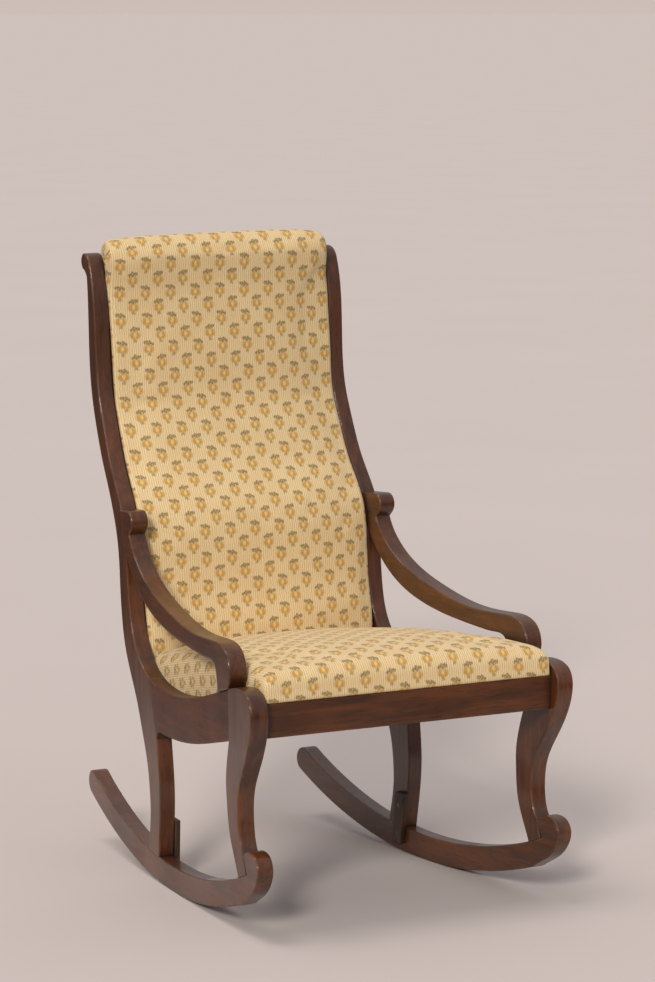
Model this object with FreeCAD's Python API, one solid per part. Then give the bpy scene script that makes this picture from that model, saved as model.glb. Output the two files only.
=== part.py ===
# Upholstered mahogany rocking chair with sawn side frames, in millimetres.
# +Z is up and the front of the chair faces -Y.
# Each side frame is drawn flat, in its own plane: "back" runs from the
# front leg towards the rear, and "up" is the height above the floor.
import FreeCAD
import Part
import math
import os

V = FreeCAD.Vector

# Side boards
BOARD = 27.0              # thickness of posts, side rails and rockers
PROUD = 3.0               # how far legs and arms stand out from the rails
LEG_BOARD = BOARD + PROUD  # thickness of front legs and arms
ARRIS = 1.6               # rounding of the sawn edges
FRONT_HALF_WIDTH = 285.0  # centre plane to outer face, at the front leg
WIDTH_LEVEL = 400.0       # height at which that width is measured
TAPER = 4.93              # degrees that each side turns in to the rear
LEAN = 0.94               # degrees that each side leans out at the top

# Rockers
ROCKER_RADIUS = 960.0     # radius of the sole
ROCKER_DEPTH = 42.0       # sole to top edge
ROCKER_LOW = 334.4        # where the sole rests, under the centre of mass
TAIL_ANGLE = 24.5         # degrees from the lowest point to the tail
TAIL_ROUND = 1.2          # degrees that its rounded end goes on
TOE_SOLE = 31.0           # back of the toe on the sole
TOE_FOOT = 3.0            # back of the toe where it meets the rocker
TOE_TOP = (17.0, 131.0)   # back of the toe at its top
TOE_HOLE = (-9.0, 112.0)  # small hole in the toe
TOE_HOLE_SIZE = 3.0

# Side frame landmarks
RAIL_FRONT = 62.0         # joint of side rail and front leg
RAIL_REAR_TOP = (425.0, 339.0)   # joint of side rail and back post
RAIL_REAR_FOOT = (396.0, 243.0)  # the same joint, lower end
RAIL_CORNER = (392.0, 253.0)     # on the round corner at that end
POST_TIP = (702.0, 1009.0)   # centre of the scroll on top of the post
POST_SCROLL = 14.0        # radius of that scroll
POST_NAPE = (686.0, 1018.0)  # on the round between scroll and front edge
KNOB = (505.0, 590.0)     # centre of the knob at the rear of the arm
KNOB_RADIUS = 18.0
KNOB_NOTCH = (493.0, 576.0)  # where the knob meets the notch below it
ARM_REAR = (575.0, 604.0)    # inside the post, cut off by it
LEG_HEEL = (3.0, 80.0)    # front leg board, inside the rocker, cut off by it
LEG_THIN_TOP = 300.0      # the front leg thins from here to the toe
LEG_THIN_FOOT = 110.0
FRONT_FOOT = 25.0         # where the feet of the legs sit on the rocker
REAR_FOOT = 421.0

# Cross rails
FRONT_RAIL_FACE = -15.0   # front face of the front rail
FRONT_RAIL_THICK = 24.0
FRONT_RAIL_TOP = 373.0
FRONT_RAIL_HEIGHT = 54.0
REAR_RAIL_BACK = 470.0    # rear face of the rear rail
REAR_RAIL_THICK = 22.0
REAR_RAIL_TOP = 322.0
REAR_RAIL_HEIGHT = 56.0
CREST_LOW = 955.0         # rail inside the roll of the back
CREST_HEIGHT = 48.0
CREST_THICK = 13.0
STAY_LOW = 356.0          # rail behind the foot of the back pad
STAY_HEIGHT = 40.0
STAY_THICK = 18.0

# Corner blocks, cleats and fasteners
BLOCK_LEG = 62.0          # corner block, along each rail
BLOCK_THICK = 28.0
BLOCK_SCREW_BITE = 12.0   # how far its screw goes into the rail
CLEAT_THICK = 9.0
CLEAT_WIDTH = 26.0
CLEAT_FOOT = 16.0
CLEAT_HEIGHT = 88.0
CLEAT_BACK = 389.0
CLEAT_LEAN = 8.0          # its foot lies this much further back
DOWEL = 9.0               # dowel diameter
DOWEL_LENGTH = 34.0
DOWEL_PLAY = 0.05         # glue space round a dowel
DOWEL_END_PLAY = 0.5      # and at its ends
SCREW_SHANK = 4.0
SCREW_HEAD = 8.0
SCREW_LENGTH = 24.0
HEAD_DEEP = 2.5           # thickness of a screw head
TACK_HEAD = 7.0
TACK_HEAD_THICK = 0.8
TACK_SHANK = 1.6
TACK_LENGTH = 10.0
TACKS_A_SIDE = 4
TACK_PITCH = 34.0         # along the front and rear of the dust cloth

# Slip seat, drawn in a frame that tips back with it
SEAT_TIP = 5.0            # degrees that the seat falls to the rear
SEAT_GAP = 0.6            # seat frame to the front and rear rails
SEAT_SIDE_GAP = 3.6       # seat frame to the side boards
SEAT_WOOD = 22.0          # thickness of the seat frame
SEAT_MEMBER = 46.0        # width of its members
SEAT_DROP = 4.5           # seat frame top below the front rail top
WEB_WIDTH = 50.0
WEB_PITCH = 92.0          # seat straps, centre to centre
SEAT_STRAPS = 4           # each way
DUST_INSET = 8.0          # dust cloth to the edge of the seat frame
WEB_THICK = 1.5
WEB_END = 10.0            # strap end to the edge of the seat frame
CLOTH = 1.0               # burlap and dust cloths
SEAT_NOSE = 6.0           # cushion in front of the front rail
SEAT_ROLL = 15.0          # how far the top edge of the cushion rolls in
SEAT_DRAW = 1.0           # how far its foot is drawn in
SEAT_SKIRT = 6.0          # cushion outline below the seat frame, cut off
SEAT_FULLEST = 0.55       # height of the fullest part of the side
SOFT_GAP = 0.3            # upholstery to its neighbours
# Cushion sections: distance from the nose, side inset, height of the
# border and of the middle over the underside of the seat frame
SEAT_SECTIONS = [(0, 9, 50, 56), (6, 1.5, 63, 71), (26, 0, 72, 82),
                 (120, 0, 79, 93), (292, 0, 77, 91), (430, 0, 70, 83),
                 (499, 1, 62, 75)]

# Back pad
PAD_EDGE = 5.0            # side of the pad in front of the post edge
PAD_BULGE = 18.0          # surface of the pad in front of its side edge
PAD_DRAW = 6.0            # how far its front edges are drawn in
PAD_ROUND = 0.6           # share of its side that this takes
PAD_SPARE = 3.0           # outline beyond the side boards, cut off
PAD_BACK = 4.0            # rear of the pad behind the post edge
PAD_FOOT = 344.0
ROLL = (674.0, 1012.0)    # centre of the stuffed roll over the crest
ROLL_RADIUS = 37.0
COVER_INSET = 2.5         # rear cloth in front of the back of the post
COVER_FOOT = 362.0
COVER_TOP = 983.0
BACK_STRAPS = 8
BACK_STRAP_LOW = 420.0    # foot of the lowest back strap
BACK_STRAP_PITCH = 68.0
# The roll: distance from its end as a share of its half length, and girth
ROLL_SECTIONS = [(0, 0.84), (0.07, 0.95), (0.2, 1.0), (0.45, 1.0), (0.75, 1.0)]

# Outlines, as (back, up). Edges that meet share their end points.
POST_FRONT = [(POST_TIP[0] - 26, POST_TIP[1] - 3), (666, 975), (659, 936), (641, 780), (619, 727),
              (590, 670), (563, 632), (540, 596), (528, 555), (523, 505),
              (517, 455), (505, 408), (482, 372), (450, 349), RAIL_REAR_TOP,
              (374, 331), (323, 330), (260, 337), (200, 349), (107, 374),
              (40, 392)]
POST_BACK = [(POST_TIP[0] - 12, POST_TIP[1] - 24), (687, 936), (679, 790), (657, 727), (627, 668),
             (604, 632), (585, 597), (570, 562), (561, 520), (558, 470),
             (553, 425), (542, 380), (527, 350), (488, 290), (464, 240),
             (445, 195), (436, 150), (434, 120), (440, 75), (452, 20)]
RAIL_SOLE = [(382, 257), (325, 257), (272, 261), (207, 271), (143, 285),
             (RAIL_FRONT, 305), (30, 312)]
REAR_LEG_FRONT = [RAIL_REAR_FOOT, (391, 205), (387, 165), (388, 125), (393, 85),
                  (402, 20)]
FRONT_LEG_BACK = [(RAIL_FRONT, 305), (74, 268), (80, 235), (79, 205), (73, 160),
                  (61, 130), (44, 98), (36, 80)]
FRONT_LEG_FRONT = [(RAIL_FRONT, 386), (40, 392), (14, 394), (-7, 391), (-23, 382),
                   (-31, 367), (-32, 350), (-28, 330), (-18, 306), (-4, 282),
                   (15, 254), (30, 226), (35, 202), (34, 168), (28, 146),
                   TOE_TOP]
TOE = [TOE_TOP, (8, 138), (-10, 141), (-30, 136), (-41, 119), (-36, 99),
       (-18, 78), (8, 62)]
ARM_TOP = [(501, 568), (486, 545), (466, 526), (405, 492), (330, 470),
           (235, 453), (170, 451), (125, 453), (90, 451), (67, 440),
           (56, 421), (55, 405), (60, 392), (RAIL_FRONT + 1, 376)]
ARM_UNDER = [(RAIL_FRONT + 44, 355), (108, 380), (112, 402), (117, 414), (128, 419.5),
             (150, 420), (190, 421), (250, 425), (357, 440), (430, 464),
             (480, 496), (510, 525), (545, 572)]
PAD_LINE = [(676, 1006), (666, 975), (659, 936), (641, 780), (619, 727),
            (590, 670), (563, 632), (540, 596), (528, 555), (523, 505),
            (517, 455), (508, 415), (503, 375), (502, 330)]
PAD_FULLNESS = [0.3, 0.35, 0.8, 1.0, 1.0, 1.0, 1.0, 1.0, 1.0, 1.0, 1.0, 1.0,
                0.8, 0.6]


# Drawing helpers, in the plane of a side frame

def at(point):
    return V(0, point[0], point[1])


def line(start, end):
    return Part.makeLine(at(start), at(end))


def curve(points):
    spline = Part.BSplineCurve()
    spline.interpolate([at(point) for point in points])
    return spline.toShape()


def arc(start, middle, end):
    return Part.Arc(at(start), at(middle), at(end)).toShape()


def on_circle(centre, radius, degrees):
    turn = math.radians(degrees)
    return (centre[0] + radius * math.sin(turn),
            centre[1] - radius * math.cos(turn))


def face(edges):
    return Part.Face(Part.Wire(Part.__sortEdges__(edges)))


def plate(edges, thick, proud=0.0):
    """A board with its outer face at x = -proud."""
    solid = face(edges).extrude(V(thick, 0, 0))
    solid.translate(V(-proud, 0, 0))
    return solid


def eased(solid, sharp=()):
    """Round the sawn edges of both faces of a board, but not the short
    cuts whose middle points, as (back, up), are listed in sharp."""
    edges = []
    for edge in solid.Edges:
        middle = edge.CenterOfMass
        flat = edge.BoundBox.XLength < 0.01
        cut = any(math.hypot(middle.y - point[0], middle.z - point[1]) < 1.0
                  for point in sharp)
        if flat and not cut:
            edges.append(edge)
    return solid.makeFillet(ARRIS, edges)


def polygon(points):
    closed = [at(point) for point in points]
    closed.append(closed[0])
    return Part.Face(Part.makePolygon(closed))


def prism(points, low, high):
    solid = polygon(points).extrude(V(high - low, 0, 0))
    solid.translate(V(low, 0, 0))
    return solid


# Placing a side frame, and the space between the two

def place_left(shape):
    placed = shape.copy()
    placed.rotate(V(0, 0, WIDTH_LEVEL), V(0, 1, 0), -LEAN)
    placed.rotate(V(0, 0, 0), V(0, 0, 1), -TAPER)
    placed.translate(V(-FRONT_HALF_WIDTH, 0, 0))
    return placed


def mirrored(shape):
    return shape.mirror(V(0, 0, 0), V(1, 0, 0))


REACH = 1400.0            # larger than the chair in every direction


def inside(shape, clearance=0.0):
    """Trim a cross piece to the inner faces of the two side frames."""
    slab = Part.makeBox(REACH + BOARD + clearance, 2 * REACH, 2 * REACH)
    slab.translate(V(-REACH, -REACH, -REACH / 2))
    slab = place_left(slab)
    return shape.cut(slab).cut(mirrored(slab))


def across(back):
    """Y of a point that lies this far back along a side frame."""
    return back * math.cos(math.radians(TAPER))


def bar(y_low, y_high, z_low, z_high, clearance=0.0):
    box = Part.makeBox(2 * FRONT_HALF_WIDTH, y_high - y_low, z_high - z_low)
    box.translate(V(-FRONT_HALF_WIDTH, y_low, z_low))
    return inside(box, clearance)


def cylinder(start, direction, length, diameter):
    return Part.makeCylinder(diameter / 2, length, start, direction)


# Rocker: two concentric arcs, a rounded tail and an upturned toe

ARC_CENTRE = (ROCKER_LOW, ROCKER_RADIUS)
TOP_RADIUS = ROCKER_RADIUS - ROCKER_DEPTH


def angle_at(back, radius):
    return math.degrees(math.asin((back - ROCKER_LOW) / radius))


def sole_at(back):
    return on_circle(ARC_CENTRE, ROCKER_RADIUS, angle_at(back, ROCKER_RADIUS))


def top_at(back):
    return on_circle(ARC_CENTRE, TOP_RADIUS, angle_at(back, TOP_RADIUS))


def rocker_edges():
    toe_low = sole_at(TOE_SOLE)
    toe_foot = top_at(TOE_FOOT)
    tail_low = on_circle(ARC_CENTRE, ROCKER_RADIUS, TAIL_ANGLE)
    tail_top = on_circle(ARC_CENTRE, TOP_RADIUS, TAIL_ANGLE)
    nose = on_circle(ARC_CENTRE, ROCKER_RADIUS - ROCKER_DEPTH / 2,
                     TAIL_ANGLE + TAIL_ROUND)
    sole = arc(toe_low, (ROCKER_LOW, 0.0), tail_low)
    tail = arc(tail_low, nose, tail_top)
    top = arc(tail_top, top_at(ROCKER_LOW), toe_foot)
    cut = line(toe_foot, TOE_TOP)
    toe = curve(TOE + [toe_low])
    return [sole, tail, top, cut, toe]


def above_rocker():
    """Everything over the rocker's top arc, for seating the legs."""
    return Part.makeCylinder(TOP_RADIUS, 4 * BOARD,
                             V(-BOARD, ARC_CENTRE[0], ARC_CENTRE[1]),
                             V(1, 0, 0))


# Side frame boards

def side_panel():
    """Back post, rear leg and side rail before they are sawn apart."""
    scroll_top = (POST_TIP[0], POST_TIP[1] + POST_SCROLL)
    scroll_rear = (POST_TIP[0] + POST_SCROLL, POST_TIP[1])
    scroll_foot = (POST_TIP[0], POST_TIP[1] - POST_SCROLL)
    edges = [
        curve(POST_FRONT),
        line(POST_FRONT[-1], RAIL_SOLE[-1]),
        curve(RAIL_SOLE),
        arc(RAIL_SOLE[0], RAIL_CORNER, REAR_LEG_FRONT[0]),
        curve(REAR_LEG_FRONT),
        line(REAR_LEG_FRONT[-1], POST_BACK[-1]),
        curve(POST_BACK),
        line(POST_BACK[0], scroll_foot),
        arc(scroll_foot, scroll_rear, scroll_top),
        arc(scroll_top, POST_NAPE, POST_FRONT[0]),
    ]
    return eased(plate(edges, BOARD))


def rear_joint(share):
    """A point on the line of the joint between side rail and back post."""
    return tuple(low + share * (high - low)
                 for low, high in zip(RAIL_REAR_FOOT, RAIL_REAR_TOP))


def rail_region():
    """The stretch of the side panel that is the side rail."""
    foot = rear_joint(-1)
    top = rear_joint(2)
    outline = [(RAIL_FRONT, foot[1]), foot, top, (RAIL_FRONT, top[1])]
    return prism(outline, -BOARD, 2 * BOARD)


def front_leg():
    edges = [
        line(FRONT_LEG_FRONT[0], FRONT_LEG_BACK[0]),
        curve(FRONT_LEG_BACK),
        line(FRONT_LEG_BACK[-1], LEG_HEEL),
        line(LEG_HEEL, FRONT_LEG_FRONT[-1]),
        curve(FRONT_LEG_FRONT),
    ]
    leg = eased(plate(edges, LEG_BOARD, PROUD))
    toe = plate(rocker_edges(), 4 * BOARD, BOARD)
    outer = -PROUD - 1
    ring = [V(outer, -REACH, LEG_THIN_TOP), V(-PROUD, -REACH, LEG_THIN_TOP),
            V(0, -REACH, LEG_THIN_FOOT), V(0, -REACH, 0),
            V(outer, -REACH, 0), V(outer, -REACH, LEG_THIN_TOP)]
    wedge = Part.Face(Part.makePolygon(ring)).extrude(V(0, 2 * REACH, 0))
    return leg.cut(wedge).common(above_rocker()).cut(toe)


def arm():
    front = (KNOB[0] - KNOB_RADIUS, KNOB[1])
    crown = (KNOB[0], KNOB[1] + KNOB_RADIUS)
    support_front = (ARM_TOP[-1][0], ARM_UNDER[0][1])
    edges = [
        line(ARM_REAR, crown),
        arc(crown, front, KNOB_NOTCH),
        line(KNOB_NOTCH, ARM_TOP[0]),
        curve(ARM_TOP),
        line(ARM_TOP[-1], support_front),
        line(support_front, ARM_UNDER[0]),
        curve(ARM_UNDER),
        line(ARM_UNDER[-1], ARM_REAR),
    ]
    return eased(plate(edges, LEG_BOARD, PROUD),
                 [halfway(KNOB_NOTCH, ARM_TOP[0])])


def halfway(start, end):
    return ((start[0] + end[0]) / 2, (start[1] + end[1]) / 2)


def side_boards():
    panel = side_panel()
    region = rail_region()
    post = panel.cut(region)
    rail = panel.common(region)
    leg = front_leg()
    rocker = eased(plate(rocker_edges(), BOARD),
                   [halfway(top_at(TOE_FOOT), TOE_TOP)])
    rocker = rocker.cut(cylinder(V(-1, TOE_HOLE[0], TOE_HOLE[1]), V(1, 0, 0),
                                 BOARD / 2, TOE_HOLE_SIZE))
    before_rail = prism([(-REACH, 0), (RAIL_FRONT, 0), (RAIL_FRONT, REACH),
                         (-REACH, REACH)], -2 * BOARD, 3 * BOARD)
    post = post.cut(before_rail).common(above_rocker())
    behind_post = (REACH, POST_FRONT[0][1])
    below = [(REACH, 0), (POST_FRONT[-1][0], 0)]
    wide_panel = plate([
        curve(POST_FRONT),
        line(POST_FRONT[-1], below[1]),
        line(below[1], below[0]),
        line(below[0], behind_post),
        line(behind_post, POST_FRONT[0]),
    ], 4 * BOARD, BOARD)
    armrest = arm().cut(wide_panel)
    return {"back_post": post, "side_rail": rail, "front_leg": leg,
            "rocker": rocker, "arm": armrest}


def cleat():
    """Repair batten on the inner face of the rear leg and rocker."""
    foot = CLEAT_BACK + CLEAT_LEAN
    outline = [(foot, CLEAT_FOOT),
               (foot + CLEAT_WIDTH, CLEAT_FOOT),
               (CLEAT_BACK + CLEAT_WIDTH, CLEAT_FOOT + CLEAT_HEIGHT),
               (CLEAT_BACK, CLEAT_FOOT + CLEAT_HEIGHT)]
    return prism(outline, BOARD, BOARD + CLEAT_THICK)


def side_dowels():
    """Dowels that lie in the plane of a side frame."""
    half = DOWEL_LENGTH / 2
    along = [(RAIL_FRONT, 325.0), (RAIL_FRONT, 362.0), rear_joint(0.3),
             rear_joint(0.72), (537.0, KNOB[1])]
    upright = [(RAIL_FRONT + 23, 380.0), top_at(FRONT_FOOT),
               top_at(REAR_FOOT)]
    dowels = []
    for back, up in along:
        dowels.append(cylinder(V(BOARD / 2, back - half, up), V(0, 1, 0),
                               DOWEL_LENGTH, DOWEL))
    for back, up in upright:
        dowels.append(cylinder(V(BOARD / 2, back, up - half), V(0, 0, 1),
                               DOWEL_LENGTH, DOWEL))
    return dowels


def pin(start, direction, length, shank, head, head_deep):
    """A screw or tack that starts with its head flush at a face."""
    top = cylinder(start, direction, head_deep, head)
    return top.fuse(cylinder(start, direction, length, shank))


def cleat_screws():
    face_x = BOARD + CLEAT_THICK
    middle = CLEAT_BACK + (CLEAT_WIDTH + CLEAT_LEAN) / 2
    spots = [(middle - 2, CLEAT_FOOT + 0.75 * CLEAT_HEIGHT),
             (middle + 2, CLEAT_FOOT + 0.18 * CLEAT_HEIGHT)]
    return [pin(V(face_x, back, up), V(-1, 0, 0), SCREW_LENGTH, SCREW_SHANK,
                SCREW_HEAD, HEAD_DEEP) for back, up in spots]


# Cross rails between the side frames

def inner_half(y, up):
    """Half of the clear width between the side frames at a point."""
    taper = math.radians(TAPER)
    lean = math.tan(math.radians(LEAN))
    return (FRONT_HALF_WIDTH - BOARD / math.cos(taper)
            - y * math.tan(taper) + (up - WIDTH_LEVEL) * lean)


def post_back_at(up):
    """How far back the rear edge of the post lies at a height."""
    for above, below in zip(POST_BACK, POST_BACK[1:]):
        if up > above[1]:
            return above[0]
        if up >= below[1]:
            share = (up - below[1]) / (above[1] - below[1])
            return below[0] + share * (above[0] - below[0])
    return POST_BACK[-1][0]


def upright_section(low, height, thick, spare=0.0):
    """Section of a rail that stands against the rear cloth."""
    high = low + height
    gap = COVER_INSET + SOFT_GAP - spare
    rear_low = post_back_at(low) - gap
    rear_high = post_back_at(high) - gap
    full = thick + 2 * spare
    return [(rear_low - full, low - spare), (rear_low, low - spare),
            (rear_high, high + spare), (rear_high - full, high + spare)]


def cross_prism(outline):
    """A rail with this (back, up) section, from side frame to side frame."""
    points = [(across(point[0]), point[1]) for point in outline]
    return prism(points, -FRONT_HALF_WIDTH, FRONT_HALF_WIDTH)


CREST = upright_section(CREST_LOW, CREST_HEIGHT, CREST_THICK)
STAY = upright_section(STAY_LOW, STAY_HEIGHT, STAY_THICK)


FRONT_RAIL_BACK = FRONT_RAIL_FACE + FRONT_RAIL_THICK
REAR_RAIL_FACE = REAR_RAIL_BACK - REAR_RAIL_THICK


def cross_rails():
    return {
        "front_rail": bar(FRONT_RAIL_FACE, FRONT_RAIL_BACK,
                          FRONT_RAIL_TOP - FRONT_RAIL_HEIGHT, FRONT_RAIL_TOP),
        "rear_rail": bar(REAR_RAIL_FACE, REAR_RAIL_BACK,
                         REAR_RAIL_TOP - REAR_RAIL_HEIGHT, REAR_RAIL_TOP),
        "crest_rail": inside(cross_prism(CREST)),
        "lower_back_rail": inside(cross_prism(STAY)),
    }


def cross_dowels():
    dowels = []
    front_y = (FRONT_RAIL_FACE + FRONT_RAIL_BACK) / 2
    rear_y = (REAR_RAIL_FACE + REAR_RAIL_BACK) / 2
    spots = []
    for share in (0.26, 0.74):
        spots.append((front_y, FRONT_RAIL_TOP - share * FRONT_RAIL_HEIGHT))
        spots.append((rear_y, REAR_RAIL_TOP - share * REAR_RAIL_HEIGHT))
    for outline in (CREST, STAY):
        y = sum(across(point[0]) for point in outline) / 4
        z = sum(point[1] for point in outline) / 4
        spots.append((y, z))
    for y, z in spots:
        start = inner_half(y, z) - DOWEL_LENGTH / 2
        dowel = cylinder(V(start, y, z), V(1, 0, 0), DOWEL_LENGTH, DOWEL)
        dowels.append(dowel)
        dowels.append(mirrored(dowel))
    return dowels


# Slip seat: local Y runs to the rear along the seat, local Z is square to it

SEAT_FRONT = FRONT_RAIL_BACK + SEAT_GAP
SEAT_FOOT = FRONT_RAIL_TOP - SEAT_DROP - SEAT_WOOD
SEAT_LENGTH = ((REAR_RAIL_FACE - SEAT_GAP - SEAT_FRONT
                - SEAT_WOOD * math.sin(math.radians(SEAT_TIP)))
               / math.cos(math.radians(SEAT_TIP)))


def tip(shape):
    tipped = shape.copy()
    tipped.rotate(V(0, 0, 0), V(1, 0, 0), -SEAT_TIP)
    tipped.translate(V(0, SEAT_FRONT, SEAT_FOOT))
    return tipped


def seat_box(low, high, foot, top, left=-FRONT_HALF_WIDTH,
             right=FRONT_HALF_WIDTH):
    box = Part.makeBox(right - left, high - low, top - foot)
    box.translate(V(left, low, foot))
    return tip(box)


def half_space(shape, side):
    """The part of a shape on one side of the centre plane."""
    start = 0 if side > 0 else -REACH
    box = Part.makeBox(REACH, 2 * REACH, 2 * REACH)
    box.translate(V(start, -REACH, -REACH / 2))
    return shape.common(box)


def seat_frame():
    rear = SEAT_LENGTH - SEAT_MEMBER
    sides = inside(seat_box(SEAT_MEMBER, rear, 0, SEAT_WOOD), SEAT_SIDE_GAP)
    middle = inside(seat_box(SEAT_MEMBER, rear, 0, SEAT_WOOD),
                    SEAT_SIDE_GAP + SEAT_MEMBER)
    sides = sides.cut(middle)
    return {
        "seat_frame_front": inside(seat_box(0, SEAT_MEMBER, 0, SEAT_WOOD),
                                   SEAT_SIDE_GAP),
        "seat_frame_rear": inside(seat_box(rear, SEAT_LENGTH, 0, SEAT_WOOD),
                                  SEAT_SIDE_GAP),
        "seat_frame_left": half_space(sides, -1),
        "seat_frame_right": half_space(sides, 1),
    }


def seat_dowels():
    """Dowels at the corners of the seat frame, in two layers of one."""
    dowels = []
    for joint in (SEAT_MEMBER, SEAT_LENGTH - SEAT_MEMBER):
        y = SEAT_FRONT + joint
        half = inner_half(y, SEAT_FOOT) - SEAT_SIDE_GAP
        for place in (half - 0.3 * SEAT_MEMBER, half - 0.7 * SEAT_MEMBER):
            dowel = cylinder(V(place, joint - DOWEL_LENGTH / 2, SEAT_WOOD / 2),
                             V(0, 1, 0), DOWEL_LENGTH, DOWEL)
            dowel = tip(dowel)
            dowels.append(dowel)
            dowels.append(mirrored(dowel))
    return dowels


def seat_webbing():
    straps = []
    for number in range(SEAT_STRAPS):
        middle = (number - (SEAT_STRAPS - 1) / 2) * WEB_PITCH
        straps.append(seat_box(WEB_END, SEAT_LENGTH - WEB_END, SEAT_WOOD,
                               SEAT_WOOD + WEB_THICK,
                               middle - WEB_WIDTH / 2, middle + WEB_WIDTH / 2))
        start = SEAT_LENGTH / 2 + middle - WEB_WIDTH / 2
        straps.append(inside(seat_box(start, start + WEB_WIDTH,
                                      SEAT_WOOD + WEB_THICK,
                                      SEAT_WOOD + 2 * WEB_THICK),
                             SEAT_SIDE_GAP + WEB_END))
    return straps


def dust_cloth():
    """Thin cloth tacked under the seat frame."""
    return inside(seat_box(DUST_INSET, SEAT_LENGTH - DUST_INSET, -CLOTH, 0),
                  SEAT_SIDE_GAP + DUST_INSET)


def dust_tacks():
    """Tacks through the dust cloth, along the four seat frame members."""
    tacks = []
    spots = []
    first = SEAT_MEMBER / 2
    last = SEAT_LENGTH - first
    step = (last - first) / (TACKS_A_SIDE + 1)
    for number in range(TACKS_A_SIDE):
        y = first + (number + 1) * step
        half = inner_half(SEAT_FRONT + y, SEAT_FOOT) - SEAT_SIDE_GAP
        spots.append((half - SEAT_MEMBER / 2, y))
        spots.append((SEAT_MEMBER + number * TACK_PITCH, first))
        spots.append((SEAT_MEMBER + number * TACK_PITCH, last))
    for x, y in spots:
        tack = tip(pin(V(x, y, -CLOTH - TACK_HEAD_THICK), V(0, 0, 1),
                       TACK_LENGTH, TACK_SHANK, TACK_HEAD, TACK_HEAD_THICK))
        tacks.append(tack)
        tacks.append(mirrored(tack))
    return tacks


BURLAP_FOOT = SEAT_WOOD + 2 * WEB_THICK


def seat_section(station):
    """One closed section across the cushion, seen from the front."""
    distance, inset, border, middle = station
    local = distance - SEAT_NOSE - FRONT_RAIL_THICK
    half = inner_half(SEAT_FRONT + local, FRONT_RAIL_TOP) - SOFT_GAP - inset
    foot = -SEAT_SKIRT
    low_left = V(-half + SEAT_DRAW, local, foot)
    low_right = V(half - SEAT_DRAW, local, foot)
    top_left = V(-half + SEAT_ROLL, local, border)
    top_right = V(half - SEAT_ROLL, local, border)
    bulge = border * SEAT_FULLEST
    return Part.Wire([
        Part.makeLine(low_left, low_right),
        Part.Arc(low_right, V(half, local, bulge), top_right).toShape(),
        Part.Arc(top_right, V(0, local, middle), top_left).toShape(),
        Part.Arc(top_left, V(-half, local, bulge), low_left).toShape(),
    ])


def seat_cushion():
    """Stuffed seat: crowned, rolled at the edges, and pocketed below so
    that its cover wraps the sides of the seat frame."""
    body = tip(Part.makeLoft([seat_section(row) for row in SEAT_SECTIONS],
                             True, False))
    deep = 2 * FRONT_RAIL_HEIGHT
    below = seat_box(-SEAT_LENGTH, 2 * SEAT_LENGTH, -deep, 0)
    pocket = inside(seat_box(-SOFT_GAP, SEAT_LENGTH + SOFT_GAP, -deep,
                             BURLAP_FOOT + CLOTH + SOFT_GAP),
                    SEAT_SIDE_GAP - SOFT_GAP)
    front = Part.makeBox(2 * FRONT_HALF_WIDTH, REACH, deep)
    rear = front.copy()
    front.translate(V(-FRONT_HALF_WIDTH, FRONT_RAIL_BACK + SOFT_GAP - REACH,
                      FRONT_RAIL_TOP + SOFT_GAP - deep))
    rear.translate(V(-FRONT_HALF_WIDTH, REAR_RAIL_FACE - SOFT_GAP,
                     REAR_RAIL_TOP + SOFT_GAP - deep))
    return inside(body.cut([below, pocket, front, rear]), SOFT_GAP)


def corner_blocks():
    """Blocks glued into the corners under the seat frame."""
    blocks = {}
    screws = []
    top = -CLOTH
    layer = seat_box(-SEAT_LENGTH, 2 * SEAT_LENGTH, top - BLOCK_THICK, top)
    for name, y, way in [("front", FRONT_RAIL_BACK, 1),
                         ("rear", REAR_RAIL_FACE, -1)]:
        corner = -inner_half(y, SEAT_FOOT)
        plan = [(corner - BLOCK_LEG, y), (corner + BLOCK_LEG, y),
                (corner, y + way * BLOCK_LEG),
                (corner - BLOCK_LEG, y + way * BLOCK_LEG)]
        ring = [V(point[0], point[1], 0) for point in plan]
        ring.append(ring[0])
        block = Part.Face(Part.makePolygon(ring)).extrude(V(0, 0, REACH))
        block = inside(block.common(layer)).Solids[0]
        reach = BLOCK_LEG / 2
        screw = pin(V(corner + reach, y + way * reach,
                      block.CenterOfMass.z), V(0, -way, 0),
                    reach + BLOCK_SCREW_BITE, SCREW_SHANK, SCREW_HEAD,
                    HEAD_DEEP)
        block = block.cut(screw)
        screws += [screw, mirrored(screw)]
        blocks["left_" + name + "_block"] = block
        blocks["right_" + name + "_block"] = mirrored(block)
    return blocks, screws


# Back upholstery

def band(points, start, thick, low, high, clearance=SOFT_GAP):
    """A curved sheet across the back that follows a (back, up) line."""
    near = curve([(point[0] + start, point[1]) for point in points])
    far = curve([(point[0] + start + thick, point[1]) for point in points])
    ends = [line((points[0][0] + start, points[0][1]),
                 (points[0][0] + start + thick, points[0][1])),
            line((points[-1][0] + start, points[-1][1]),
                 (points[-1][0] + start + thick, points[-1][1]))]
    sheet = plate([near, far] + ends, 2 * FRONT_HALF_WIDTH, FRONT_HALF_WIDTH)
    return inside(sheet.common(level_slab(low, high)), clearance)


def level_slab(low, high):
    slab = Part.makeBox(2 * FRONT_HALF_WIDTH, REACH, high - low)
    slab.translate(V(-FRONT_HALF_WIDTH, 0, low))
    return slab


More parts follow.
